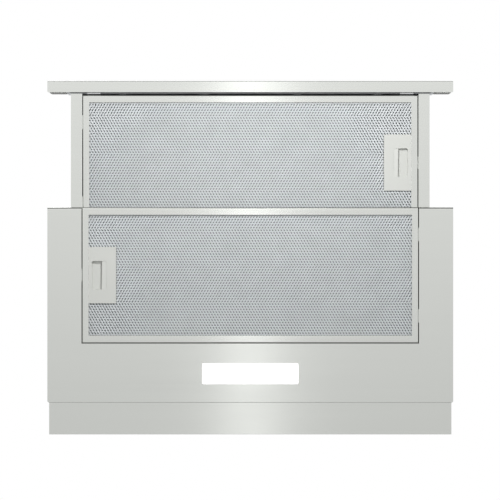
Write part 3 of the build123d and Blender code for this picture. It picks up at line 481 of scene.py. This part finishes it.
edgeLook = {
    "sheet": 0.00035,
    "casing": 0.0003,
    "moulded": 0.0005,
    "trim": 0.0004,
    "small": 0.0002,
    "steps": 2,
    "angle": math.radians(40),        # edges that turn less stay as they are
    "flat": math.radians(0.5),        # triangles that turn less are joined into one face
    "normalWeight": 100,              # how much the large faces lead the shading of the rounds
}


def soften(name, width, folds=(), moves=(), rolls=()):
    # a copy of a node with its triangles joined into flat faces; folds are (chooser, radius, steps) for
    # single bends, rolls are (chooser, radius) for bends that meet at corners, moves shift its corners, and
    # every edge that is still sharp gets a small round
    source = frame["nodes"][name]
    bm = bmesh.new()
    bm.from_mesh(source.data)
    bmesh.ops.remove_doubles(bm, verts=bm.verts, dist=merging)
    bmesh.ops.dissolve_limit(bm, angle_limit=edgeLook["flat"], verts=bm.verts, edges=bm.edges)
    for inside, shift in moves:
        for vertex in filter(lambda vertex: inside(vertex.co), bm.verts):
            vertex.co += Vector(shift)
    for chooser, radius, steps in folds:
        bmesh.ops.bevel(bm, geom=list(filter(chooser, bm.edges)), offset=radius, segments=steps, profile=0.5,
                        affect="EDGES", clamp_overlap=True)
    widest = max((radius for chooser, radius in rolls), default=0)
    if rolls:
        weight = bm.edges.layers.float.new("bevel_weight_edge")
        for chooser, radius in rolls:
            for edge in filter(chooser, bm.edges):
                edge[weight] = radius / widest
    for face in bm.faces:
        face.smooth = True
    mesh = bpy.data.meshes.new(name + "_soft")
    bm.to_mesh(mesh)
    bm.free()
    piece = setPiece(name + "_soft", mesh, source["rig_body"], finishOf(name), [name])
    if rolls:
        roll = piece.modifiers.new("rolls", "BEVEL")
        roll.width = widest
        roll.segments = bendLook["steps"]
        roll.limit_method = "WEIGHT"
    edges = piece.modifiers.new("edges", "BEVEL")
    edges.width = width
    edges.segments = edgeLook["steps"]
    edges.limit_method = "ANGLE"
    edges.angle_limit = edgeLook["angle"]
    piece.modifiers.new("normals", "WEIGHTED_NORMAL").weight = edgeLook["normalWeight"]


# Folded steel sheet and moulded parts with rounded edges

plainEdges = {
    "sheet": ("rear_filler", "drawer_front_bar", "drawer_cover"),
    "casing": ("casing_back", "casing_front", "casing_top", "casing_side_left", "casing_side_right",
               "bracket_left", "bracket_right"),
    "moulded": ("switch_bezel", "terminal_box", "terminal_cover", "cable_gland", "duct_collar",
                "button_speed_1", "button_speed_2", "button_speed_3", "button_light"),
}
for kind, names in plainEdges.items():
    for name in names:
        soften(name, edgeLook[kind])

low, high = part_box("front_trim")
soften("front_trim", edgeLook["trim"],
       bend(bendLook["trimRear"], "x", y=high.y, z=low.z, inward=(-1, 1))
       + bend(bendLook["trimFront"], "x", y=low.y, z=low.z)
       + bend(bendLook["trimFront"], "x", y=low.y, z=high.z))

low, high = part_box("base_plate")
soften("base_plate", edgeLook["sheet"],
       bend(bendLook["plateFront"], "x", y=low.y, z=low.z, inward=(1, 1))
       + bend(bendLook["plateRear"], "x", y=high.y, z=low.z)
       + bend(bendLook["plateSide"], "y", x=low.x, z=low.z)
       + bend(bendLook["plateSide"], "y", x=high.x, z=low.z))

for label in ("front", "rear"):
    low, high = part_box(f"{label}_filter_mesh")
    skin, ease = bendLook["frameSkin"], bendLook["seamEase"]
    moves, rolls = [], []
    for side, x in ((-1, low.x - skin), (1, high.x + skin)):
        moves.append((lambda place, x=x: near(place.x, x), (-side * ease, 0, 0)))
        rolls.append((fold(x=x - side * ease, z=low.z - skin, along="y"), bendLook["frameSide"]))
    for y in (low.y - skin, high.y + skin):
        rolls.append((fold(y=y, z=low.z - skin, along="x"), bendLook["frameLong"]))
    soften(f"{label}_filter_frame", edgeLook["sheet"], moves=moves, rolls=rolls)

for label, side in (("left", -1), ("right", 1)):
    low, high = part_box(f"drawer_side_{label}")
    innerX = low.x if side > 0 else high.x
    soften(f"drawer_side_{label}", edgeLook["sheet"], bend(bendLook["rail"], "y", x=innerX, z=low.z))

clipLook = {"taper": 0.0015, "shorten": 0.0016}
low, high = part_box("trim_clips")
clipMoves = [(lambda place: near(place.y, high.y), (0, -clipLook["shorten"], 0))]
for x, way in ((low.x, 1), (high.x, -1)):
    clipMoves.append((lambda place, x=x: near(place.x, x) and near(place.y, low.y),
                      (way * clipLook["taper"], 0, 0)))
soften("trim_clips", edgeLook["small"], moves=clipMoves)

slotLook = {
    "inset": 0.0050,        # from the handle's outer end to the finger slot
    "length": 0.0142,
    "halfWidth": 0.0210,
    "window": 0.0070,       # room for the sliding tab
    "cornerRadius": 0.0022,
    "cornerSteps": 6,
    "tabRise": 0.0009,      # how far the tab's edge is drawn out towards the finger
    "tabRound": 0.0009,
    "tabSteps": 4,
    "floorDepth": 0.0010,   # thickness of the well's floor
    "floorGap": 0.0020,     # between the well's floor and the tab, all but floorLeft of which is closed
    "floorLeft": 0.0006,
}
for label, outward in (("front", 1), ("rear", -1)):
    low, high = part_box(f"{label}_filter_handle")
    outerEnd = high.x if outward > 0 else low.x
    middle = (low.y + high.y) / 2
    slotX = outerEnd - outward * slotLook["inset"]
    tabX = slotX - outward * slotLook["length"]
    windowX = tabX - outward * slotLook["window"]
    corners = [(fold(x=x, y=middle + side * slotLook["halfWidth"], along="z"), slotLook["cornerRadius"],
                slotLook["cornerSteps"]) for x in (slotX, windowX) for side in (-1, 1)]
    floorX = tabX + outward * slotLook["floorGap"]
    floorZ = high.z - slotLook["floorDepth"]
    closing = -outward * (slotLook["floorGap"] - slotLook["floorLeft"])
    soften(f"{label}_filter_handle", edgeLook["trim"], corners,
           moves=[(lambda place: near(place.x, floorX) and place.z > floorZ - sameSpot, (closing, 0, 0))])
    tabLow = min(vertex.co.z for vertex in frame["nodes"][f"{label}_latch_slider"].data.vertices
                 if near(vertex.co.x, tabX))
    rise = slotLook["tabRise"]
    soften(f"{label}_latch_slider", edgeLook["small"],
           [(fold(x=tabX, z=tabLow - rise, along="y"), slotLook["tabRound"], slotLook["tabSteps"])],
           moves=[(lambda place: near(place.x, tabX) and near(place.z, tabLow), (0, 0, -rise))])
print("rounded sheets: done")


# Small pieces: pads behind the trim, spot welds, the marks on the buttons and the latch springs

def ringFaces(rings, count):
    # four-sided faces between rings of count points, each ring closed on itself
    index = np.arange(rings * count).reshape(rings, count)
    after = np.roll(index, -1, axis=1)
    return np.stack([index[:-1], after[:-1], after[1:], index[1:]], -1).reshape(-1, 4)


def mound(centre, right, up, size, power, profile, count=24):
    # closed cap: rings of the curve |x/a|^n + |y/b|^n = 1, each scaled by a share and lifted by a height
    # along right x up; the first and the last share are zero, so both ends close in a point
    angle = np.linspace(0, 2 * np.pi, count, endpoint=False)
    cosine, sine = np.cos(angle), np.sin(angle)
    right, up = np.array(right, float), np.array(up, float)
    across = size[0] * np.sign(cosine) * np.abs(cosine) ** (2 / power)
    along = size[1] * np.sign(sine) * np.abs(sine) ** (2 / power)
    flat = across[:, None] * right + along[:, None] * up
    share, height = np.array(profile).T
    points = np.array(centre) + share[:, None, None] * flat + height[:, None, None] * np.cross(right, up)
    return points.reshape(-1, 3), ringFaces(len(share), count)


rootDepth = 0.0001        # how far pads, welds and marks reach into what carries them

padLook = {"startX": 0.2715, "endX": 0.2960, "low": 0.0012, "high": 0.0388, "thickness": 0.0006, "power": 9,
           "points": 64, "colour": (0.80, 0.81, 0.78), "roughness": 0.75, "tone": 0.02, "specular": 0.1}
thick = padLook["thickness"]
padSize = ((padLook["endX"] - padLook["startX"]) / 2, (padLook["high"] - padLook["low"]) / 2)
padProfile = [(0, -rootDepth), (1, -rootDepth), (1, thick * 0.6), (0.98, thick), (0, thick)]
padX, padZ = padLook["startX"] + padSize[0], (padLook["low"] + padLook["high"]) / 2
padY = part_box("front_trim")[1].y
pads = [mound((side * padX, padY, padZ), (-1, 0, 0), (0, 0, 1), padSize, padLook["power"], padProfile,
              padLook["points"]) for side in (-1, 1)]
padFinish = moulded("padPlastic", padLook["colour"], padLook["roughness"], tone=padLook["tone"])
padFinish.set(Specular_IOR_Level=padLook["specular"])
addPiece("trim_end_pads", "drawer", "handle_grey", pads, finish=padFinish)

weldLook = {
    "radius": 0.0026,
    "rise": 0.00012,
    "dip": 0.00004,
    "skirt": 0.00002,
    "sides": {"count": 5, "foot": 0.055, "head": 0.008, "inset": 0.0065},     # up the rear edges
    "feet": {"count": 6, "front": 0.014, "rear": 0.064, "outset": 0.0065, "height": 0.0020},
}
rise, dip = weldLook["rise"], weldLook["dip"]
weldProfile = [(0, -rootDepth), (1, -rootDepth), (1, weldLook["skirt"]), (0.85, rise), (0.62, rise),
               (0.45, dip), (0, dip)]


def weld(centre, right, up):
    # a flat button with a dip in its middle
    return mound(centre, right, up, (weldLook["radius"],) * 2, 2, weldProfile)


backLow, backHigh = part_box("casing_back")
topLow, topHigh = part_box("casing_top")
sides, feet = weldLook["sides"], weldLook["feet"]
welds = []
for side in (-1, 1):
    for z in np.linspace(backLow.z + sides["foot"], backHigh.z - sides["head"], sides["count"]):
        welds.append(weld((side * topHigh.x, backHigh.y - sides["inset"], z), (0, side, 0), (0, 0, 1)))
    for y in np.linspace(topLow.y + feet["front"], topHigh.y - feet["rear"], feet["count"]):
        welds.append(weld((side * (topHigh.x + feet["outset"]), y, feet["height"]), (1, 0, 0), (0, 1, 0)))
addPiece("casing_welds", "casing", "zinc_sheet", welds)

markLook = {"size": 0.0046, "proud": 0.00012, "lampRadius": 0.0010, "rays": 8, "rayStart": 0.0015,
            "rayEnd": 0.0023, "rayHalfWidth": 0.00016, "rayPower": 4, "rayPoints": 12}


def buttonFace(name):
    low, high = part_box(name)
    return (low.x + high.x) / 2, low.y, (low.z + high.z) / 2


def numeral(text, name, body):
    # a plain figure that stands a little proud of the button's face
    curve = bpy.data.curves.new(name, "FONT")
    curve.body = text
    curve.size = markLook["size"]
    curve.extrude = markLook["proud"]
    curve.align_x = "CENTER"
    curve.align_y = "CENTER"
    carrier = bpy.data.objects.new(name + "_text", curve)
    scene.collection.objects.link(carrier)
    mesh = bpy.data.meshes.new_from_object(carrier.evaluated_get(bpy.context.evaluated_depsgraph_get()))
    bpy.data.objects.remove(carrier)
    mesh.transform(Matrix.Translation(buttonFace(body)) @ Matrix.Rotation(math.radians(90), 4, "X"))
    mesh.materials.clear()
    setPiece(name, mesh, body, finishes["black_plastic"])


for number in (1, 2, 3):
    numeral(str(number), f"mark_speed_{number}", f"button_speed_{number}")

middle = np.array(buttonFace("button_light"))
flatProfile = [(0, -rootDepth), (1, -rootDepth), (1, markLook["proud"]), (0, markLook["proud"])]
rayLength = (markLook["rayEnd"] - markLook["rayStart"]) / 2
light = [mound(middle, (1, 0, 0), (0, 0, 1), (markLook["lampRadius"],) * 2, 2, flatProfile)]
for turn in np.arange(markLook["rays"]) * 2 * np.pi / markLook["rays"]:
    way = np.array((np.cos(turn), 0, np.sin(turn)))
    aside = np.array((-np.sin(turn), 0, np.cos(turn)))
    light.append(mound(middle + way * (markLook["rayStart"] + rayLength), way, aside,
                       (rayLength, markLook["rayHalfWidth"]), markLook["rayPower"], flatProfile,
                       markLook["rayPoints"]))
addPiece("mark_light", "button_light", "black_plastic", light)

springLook = {
    "wire": 0.00025,        # radius
    "turns": 7,
    "endTurns": 1.5,        # closed turns at each end
    "endShare": 0.10,       # of the spring's length that they take
    "steps": 24,
    "sides": 8,
}


def coil(start, end, middle, radius, look):
    # tube along a helix round the X axis: the centre turns steadily while it advances, slowly over the closed
    # turns at each end; each ring stands square to the path, and the first and last shrink to a point
    turns = look["turns"] + 2 * look["endTurns"]
    count = int(turns * look["steps"])
    angle = np.linspace(0, 2 * np.pi * turns, count)
    ends = 2 * np.pi * look["endTurns"]
    share = np.interp(angle, [0, ends, angle[-1] - ends, angle[-1]],
                      [0, look["endShare"], 1 - look["endShare"], 1])
    radial = np.stack([np.zeros(count), np.cos(angle), np.sin(angle)], -1)
    centre = np.stack([start + (end - start) * share, np.full(count, middle.y), np.full(count, middle.z)], -1)
    centre += radial * radius
    way = np.gradient(centre, axis=0)
    way /= np.linalg.norm(way, axis=1)[:, None]
    side = np.cross(way, radial)
    turn = np.linspace(0, 2 * np.pi, look["sides"], endpoint=False)[None, :, None]
    ring = np.cos(turn) * radial[:, None, :] + np.sin(turn) * side[:, None, :]
    thick = np.full(count, look["wire"])
    thick[[0, -1]] = 0
    points = centre[:, None, :] + ring * thick[:, None, None]
    return points.reshape(-1, 3), ringFaces(count, look["sides"])


joints = {joint["name"]: joint for joint in frame["record"]["behaviour"]["joints"]}
for label in ("front", "rear"):
    name, joint = f"{label}_latch_spring", joints[f"{label}_latch_slide"]
    low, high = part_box(name)
    middle = (low + high) / 2
    wire = springLook["wire"]
    spring = coil(low.x + wire, high.x - wire, middle, (high.z - low.z) / 2 - wire, springLook)
    piece = addPiece(name + "_coil", frame["nodes"][name]["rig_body"], "spring_steel", [spring], [name])
    fixedX = high.x if joint["axis"][0] > 0 else low.x
    keep = 1 - joint["range_m"][1] / (high.x - low.x)
    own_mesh(piece)
print("small pieces: done")


# Filter mesh: two holed skins with a crumpled sheet between them; the sheet's dark grey is painted shade for
# the depth of the filter seen through the holes

meshPack = {
    "pitchX": 0.00426,      # hole to hole along a row
    "pitchY": 0.00389,      # row to row, every second row is half a pitch along
    "holeRadius": 0.00163,
    "throatShare": 0.72,    # throat of a hole as a share of its rim
    "lean": 0.42,           # how much longer a hole is along its leaning side
    "bandRows": 14,         # rows that lean the same way
    "firstBand": 6,         # rows before the lean changes for the first time
    "rimDrop": 0.00010,
    "throatDrop": 0.00070,
    "crown": 0.00012,       # how far the webs stand proud of the rims
    "depth": 0.0022,        # from the frame's inner face to the lower skin
    "upperDepth": 0.0002,
    "sideStrip": 0.0090,    # width of the frame's strips
    "longStrip": 0.0104,
    "underStrip": 0.0030,   # how far the mesh runs under them
    "handleLap": 0.0012,
}


def inside(points, hole):
    left, right, front, rear = hole
    return (points[:, 0] > left) & (points[:, 0] < right) & (points[:, 1] > front) & (points[:, 1] < rear)


def meshCells(low, high, hole, look, facing):
    # staggered grid of holes: each cell is a six-sided web round one hole, its corners lie where three cells
    # meet, its rim is a circle drawn out along one slanting side, and its throat is a smaller copy of it
    # further in. The slant changes sides from one band of rows to the next. facing is -1 for a face that
    # looks down and 1 for one that looks up; hole is the rectangle left free for the handle.
    px, py = look["pitchX"], look["pitchY"]
    columns = int((high[0] - low[0]) / px)
    rows = int((high[1] - low[1]) / py)
    startX = (low[0] + high[0] - (columns - 0.5) * px) / 2
    startY = (low[1] + high[1] - (rows - 1) * py) / 2
    row, column = np.meshgrid(np.arange(rows), np.arange(columns), indexing="ij")
    centre = np.stack([startX + (column + 0.5 * (row % 2)) * px, startY + row * py], -1).reshape(-1, 2)
    band = (row + look["bandRows"] - look["firstBand"]) // look["bandRows"]
    slant = (1 - 2 * (band % 2)).reshape(-1)
    keep = ~inside(centre, hole)
    centre, slant = centre[keep], slant[keep]
    tip = (px * px / 4 + py * py) / (2 * py)
    corner = np.array([(px / 2, py - tip), (0, tip), (-px / 2, py - tip),
                       (-px / 2, tip - py), (0, -tip), (px / 2, tip - py)])
    way = corner / np.linalg.norm(corner, axis=1)[:, None]
    outer = centre[:, None, :] + corner
    drawn = 1 + look["lean"] * slant[:, None] * np.array([-1, 0, 1, -1, 0, 1])
    spoke = way * (look["holeRadius"] * drawn)[:, :, None]
    rim = centre[:, None, :] + spoke
    throat = centre[:, None, :] + spoke * look["throatShare"]
    heights = [low[2] + facing * look["crown"], low[2] - facing * look["rimDrop"],
               low[2] - facing * look["throatDrop"]]
    rings = [np.concatenate([ring, np.full(ring.shape[:2] + (1,), height)], -1)
             for ring, height in zip((outer, rim, throat), heights)]
    points = np.concatenate(rings, 1)
    step = np.arange(6)
    after = (step + 1) % 6
    quads = np.concatenate([
        np.stack([step, after, after + 6, step + 6], -1),
        np.stack([step + 6, after + 6, after + 12, step + 12], -1)])
    if facing < 0:
        quads = quads[:, ::-1]
    faces = (np.arange(len(centre))[:, None, None] * points.shape[1] + quads).reshape(-1, 4)
    return points, faces


coreLook = {
    "waveLength": 0.012,
    "waveHeight": 0.0007,
    "sway": 1.7,            # how far the waves wander sideways, in radians
    "swayWaves": 3,         # waves in one sway
    "columns": 240,
    "rows": 96,
    "depth": 0.0045,
}
# painted shade: the crumpled sheet is dark grey so that the holes read as shaded depth inside the filter
coreShadeFinish = plated("meshCorePaintedShade", colour=meshLook["coreShadeColour"], roughness=meshLook["coreRoughness"])


def coreSheet(low, high, hole, look):
    # crumpled sheet between the layers: height is the product of two sine waves over a flat grid,
    # with the cells under the handle left out
    x = np.linspace(low[0], high[0], look["columns"])
    y = np.linspace(low[1], high[1], look["rows"])
    gridX, gridY = np.meshgrid(x, y, indexing="ij")
    turn = 2 * np.pi / look["waveLength"]
    swayed = turn * gridX + look["sway"] * np.sin(turn * gridY / look["swayWaves"])
    height = low[2] + look["waveHeight"] * np.sin(swayed) * np.sin(turn * gridY)
    points = np.stack([gridX, gridY, height], -1).reshape(-1, 3)
    index = np.arange(len(x) * len(y)).reshape(len(x), len(y))
    faces = np.stack([index[:-1, :-1], index[:-1, 1:], index[1:, 1:], index[1:, :-1]], -1).reshape(-1, 4)
    return points, faces[~inside(points[faces].mean(1), hole)]


for label, body in (("front", "drawer"), ("rear", "rear_filter")):
    low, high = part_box(f"{label}_filter_mesh")
    handleLow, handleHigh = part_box(f"{label}_filter_handle")
    lap = meshPack["handleLap"]
    hole = (low.x if handleHigh.x < 0 else handleLow.x + lap,       # out to the frame, where the latch slides
            high.x if handleLow.x > 0 else handleHigh.x - lap,
            handleLow.y + lap, handleHigh.y - lap)
    sideInset = meshPack["sideStrip"] - meshPack["underStrip"]
    longInset = meshPack["longStrip"] - meshPack["underStrip"]
    start = (low.x + sideInset, low.y + longInset)
    end = (high.x - sideInset, high.y - longInset)
    lower = (*start, low.z + meshPack["depth"])
    middle = (*start, low.z + coreLook["depth"])
    upper = (*start, high.z - meshPack["upperDepth"])
    addPiece(f"{label}_mesh_lower", body, "filter_mesh", [meshCells(lower, end, hole, meshPack, -1)],
             [f"{label}_filter_mesh"])
    addPiece(f"{label}_mesh_core", body, "filter_mesh", [coreSheet(middle, end, hole, coreLook)],
             finish=coreShadeFinish)
    addPiece(f"{label}_mesh_upper", body, "filter_mesh", [meshCells(upper, end, hole, meshPack, 1)])
print("filter mesh: done")


# Studio: a pale floor, soft lamps and a camera straight below

view = {
    "distance": 3.2,              # camera below the plate
    "metresAcross": 0.73665,      # width of the picture at the plate
    "centre": (-0.0004, -0.0114),
    "sensor": 36.0,
    "farthest": 100,
}

camera = bpy.data.objects.new("camera", bpy.data.cameras.new("camera"))
scene.collection.objects.link(camera)
camera.location = (*view["centre"], -view["distance"])
camera.rotation_euler = (math.pi, 0, 0)
camera.data.sensor_width = view["sensor"]
camera.data.lens = view["sensor"] * view["distance"] / view["metresAcross"]
camera.data.clip_end = view["farthest"]
scene.camera = camera

lamps = {
    "longBand": {"place": (0.0, -0.30, -2.9), "aim": (0, -0.30, 0), "size": (0.108, 2.6), "power": 0.65},
    "frontBand": {"place": (0.0, -0.75, -2.8), "aim": (0, -0.75, 0), "size": (0.108, 1.7), "power": 0.216},
    "keyLamp": {"place": (0.03, -0.40, -0.62), "aim": (0, -0.05, 0), "size": (0.10, 0.10), "power": 5.6,
                "glossy": False},     # so close that it would glare in the steel
    "topLamp": {"place": (-1.2, -1.6, 2.4), "aim": (0, 0, 0.1), "size": (1.6, 1.6), "power": 40.0},
}
for name, look in lamps.items():
    area = bpy.data.lights.new(name, "AREA")
    area.shape = "RECTANGLE"
    area.size, area.size_y = look["size"]
    area.energy = look["power"]
    lamp = bpy.data.objects.new(name, area)
    scene.collection.objects.link(lamp)
    lamp.location = look["place"]
    lamp.rotation_euler = (Vector(look["aim"]) - Vector(look["place"])).to_track_quat("-Z", "Y").to_euler()
    lamp.visible_camera = False
    lamp.visible_glossy = look.get("glossy", True)

white = (1.0, 1.0, 1.0)


def stageSheet(name, corners, finish):
    mesh = bpy.data.meshes.new(name)
    mesh.from_pydata(corners, [], [(0, 1, 2, 3)])
    mesh.materials.append(finish.material)
    sheet = bpy.data.objects.new(name, mesh)
    scene.collection.objects.link(sheet)
    return sheet


def seenRays(bench):
    # 1 for rays from the camera, from metal and through glass, 0 for those that gather light
    path = bench.add("ShaderNodeLightPath", {}, {}, "Is Camera Ray")
    outputs = path.socket.node.outputs
    return path | Wire(bench, outputs["Is Glossy Ray"]) | Wire(bench, outputs["Is Transmission Ray"])


flagLook = {
    "away": 2.0,
    "half": 3.0,
    "bands": {"Low": (-2.3, -0.18), "High": (0.18, 1.15)},
    "front": 0.10,
    "rear": 0.32,
}


def flag(name, y, low, high, grey):
    # upright grey sheet that only reflections see, so that the folds towards it read dark
    half = flagLook["half"]
    finish = Finish(name)
    finish.surface(finish.add("ShaderNodeEmission", {}, {"Color": white, "Strength": grey}))
    sheet = stageSheet(name, [(-half, y, low), (half, y, low), (half, y, high), (-half, y, high)], finish)
    sheet.visible_camera = False
    sheet.visible_diffuse = False
    sheet.visible_shadow = False
    sheet.visible_transmission = False


for level, (low, high) in flagLook["bands"].items():
    flag("frontFlag" + level, -flagLook["away"], low, high, flagLook["front"])
    flag("rearFlag" + level, flagLook["away"], low, high, flagLook["rear"])

floorLook = {
    "height": -3.4,
    "half": 15.0,
    "colour": (0.86, 0.86, 0.86),
    "roughness": 0.9,
    "glowFront": 1.0,       # its glow falls from front to rear
    "glowRear": 0.573,
    "gradeHalf": 0.98,      # across this many metres each way
}
floorFinish = Finish("paleFloor").set(Base_Color=floorLook["colour"], Roughness=floorLook["roughness"])
grade = floorFinish.add("ShaderNodeMapRange", {"interpolation_type": "SMOOTHSTEP"}, {
    "Value": floorFinish.axis("Y"), "From Min": -floorLook["gradeHalf"], "From Max": floorLook["gradeHalf"],
    "To Min": floorLook["glowFront"], "To Max": floorLook["glowRear"]})
floorFinish.surface(floorFinish.add("ShaderNodeMixShader", {}, {
    0: seenRays(floorFinish) * grade,
    1: Wire(floorFinish, floorFinish.shader.outputs[0]),
    2: floorFinish.add("ShaderNodeEmission", {}, {"Color": white, "Strength": 1.0})}))
half, height = floorLook["half"], floorLook["height"]
stageSheet("floor", [(x, y, height) for x, y in ((-half, -half), (half, -half), (half, half), (-half, half))],
           floorFinish)

worldLook = {"seen": 1.0, "fill": 0.24}
world = bpy.data.worlds.new("studio")
world.use_nodes = True
scene.world = world
sky = Bench(world.node_tree)
background = sky.tree.nodes["Background"]
sky.put(background.inputs["Color"], white)
strength = worldLook["fill"] + seenRays(sky) * (worldLook["seen"] - worldLook["fill"])
sky.put(background.inputs["Strength"], strength)
print("studio: done")
